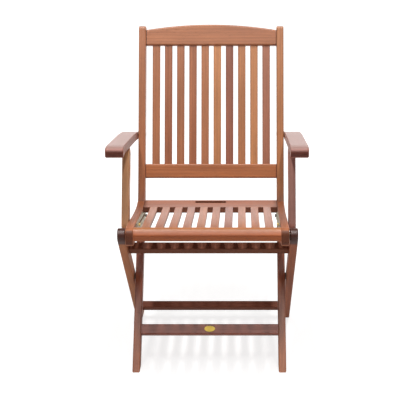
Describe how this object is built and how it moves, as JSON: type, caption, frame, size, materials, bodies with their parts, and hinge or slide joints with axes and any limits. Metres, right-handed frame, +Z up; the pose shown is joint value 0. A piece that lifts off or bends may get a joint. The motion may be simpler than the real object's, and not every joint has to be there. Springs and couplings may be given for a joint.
{
  "type": "folding armchair",
  "caption": "Folding slatted wooden armchair: scissor legs, slatted seat and raked back, flat armrests on short posts, slotted brass seat plates.",
  "frame": {"origin": "centre of the footprint, on the floor", "axes": "+X to the chair's right-hand side as seen from the front, +Y towards the back, +Z up"},
  "size_m": [0.5598, 0.6076, 0.9479],
  "materials": {
    "frame_wood": "oiled",
    "slat_wood": "oiled",
    "brass": "aged",
    "dark_steel": "dark"
  },
  "bodies": {
    "frame": {"stile_leg_left": "frame_wood", "stile_leg_right": "frame_wood", "top_back_rail": "frame_wood", "lower_back_rail": "frame_wood", "back_slat_01": "slat_wood", "back_slat_02": "slat_wood", "back_slat_03": "slat_wood", "back_slat_04": "slat_wood", "back_slat_05": "slat_wood", "back_slat_06": "slat_wood", "back_slat_07": "slat_wood", "back_slat_08": "slat_wood", "back_slat_09": "slat_wood", "back_slat_10": "slat_wood", "front_stretcher": "frame_wood", "oval_plate": "brass", "scissor_bolts": "dark_steel", "scissor_washers": "dark_steel", "catch_pins": "dark_steel", "arm_bolts": "dark_steel", "arm_spacers": "dark_steel", "arm_bolt_nuts": "dark_steel"},
    "rear_legs": {"rear_leg_left": "frame_wood", "rear_leg_right": "frame_wood", "upper_cross_rail": "frame_wood", "lower_stretcher": "frame_wood", "knuckle_bolts": "dark_steel", "knuckle_washers": "dark_steel"},
    "seat": {"seat_rail_left": "frame_wood", "seat_rail_right": "frame_wood", "seat_front_rail": "frame_wood", "seat_rear_rail": "frame_wood", "seat_slat_01": "slat_wood", "seat_slat_02": "slat_wood", "seat_slat_03": "slat_wood", "seat_slat_04": "slat_wood", "seat_slat_05": "slat_wood", "seat_slat_06": "slat_wood", "seat_slat_07": "slat_wood", "seat_slat_08": "slat_wood", "seat_slat_09": "slat_wood", "seat_slat_10": "slat_wood", "slot_plate_left": "brass", "slot_plate_right": "brass", "plate_screws": "brass"},
    "arm_left": {"armrest_left": "frame_wood", "arm_block_left": "frame_wood", "post_top_bolt_left": "dark_steel"},
    "arm_right": {"armrest_right": "frame_wood", "arm_block_right": "frame_wood", "post_top_bolt_right": "dark_steel"},
    "post_left": {"arm_post_left": "frame_wood", "post_foot_bolt_left": "dark_steel"},
    "post_right": {"arm_post_right": "frame_wood", "post_foot_bolt_right": "dark_steel"},
    "slider_left": {"slide_bolt_left": "brass"},
    "slider_right": {"slide_bolt_right": "brass"}
  },
  "joints": [
    {"name": "rear_legs_fold", "type": "hinge", "parent": "frame", "child": "rear_legs", "pos_m": [0, -0.03894, 0.23], "axis": [-1, 0, 0], "range_deg": [0, 67]},
    {"name": "seat_fold", "type": "hinge", "parent": "rear_legs", "child": "seat", "pos_m": [0, -0.24754, 0.432], "axis": [1, 0, 0], "range_deg": [0, 142]},
    {"name": "arm_left_fold", "type": "hinge", "parent": "frame", "child": "arm_left", "pos_m": [-0.24, 0.17386, 0.6215], "axis": [-1, 0, 0], "range_deg": [0, 103]},
    {"name": "post_left_fold", "type": "hinge", "parent": "arm_left", "child": "post_left", "pos_m": [-0.24, -0.06954, 0.6215], "axis": [1, 0, 0], "range_deg": [0, 96.63]},
    {"name": "slider_left_travel", "type": "slide", "parent": "seat", "child": "slider_left", "axis": [0, 0.9883, -0.1525], "range_m": [0, 0.09097]},
    {"name": "arm_right_fold", "type": "hinge", "parent": "frame", "child": "arm_right", "pos_m": [0.24, 0.17386, 0.6215], "axis": [-1, 0, 0], "range_deg": [0, 103]},
    {"name": "post_right_fold", "type": "hinge", "parent": "arm_right", "child": "post_right", "pos_m": [0.24, -0.06954, 0.6215], "axis": [1, 0, 0], "range_deg": [0, 96.63]},
    {"name": "slider_right_travel", "type": "slide", "parent": "seat", "child": "slider_right", "axis": [0, 0.9883, -0.1525], "range_m": [0, 0.09097]}
  ],
  "couplings": [
    {"joint": "seat_fold", "follows": "rear_legs_fold", "ratio": 2.1194},
    {"joint": "arm_left_fold", "follows": "rear_legs_fold", "ratio": 1.5373},
    {"joint": "post_left_fold", "follows": "rear_legs_fold", "ratio": 1.4422},
    {"joint": "slider_left_travel", "follows": "rear_legs_fold", "m_per_rad": 0.077786},
    {"joint": "arm_right_fold", "follows": "rear_legs_fold", "ratio": 1.5373},
    {"joint": "post_right_fold", "follows": "rear_legs_fold", "ratio": 1.4422},
    {"joint": "slider_right_travel", "follows": "rear_legs_fold", "m_per_rad": 0.077786}
  ]
}
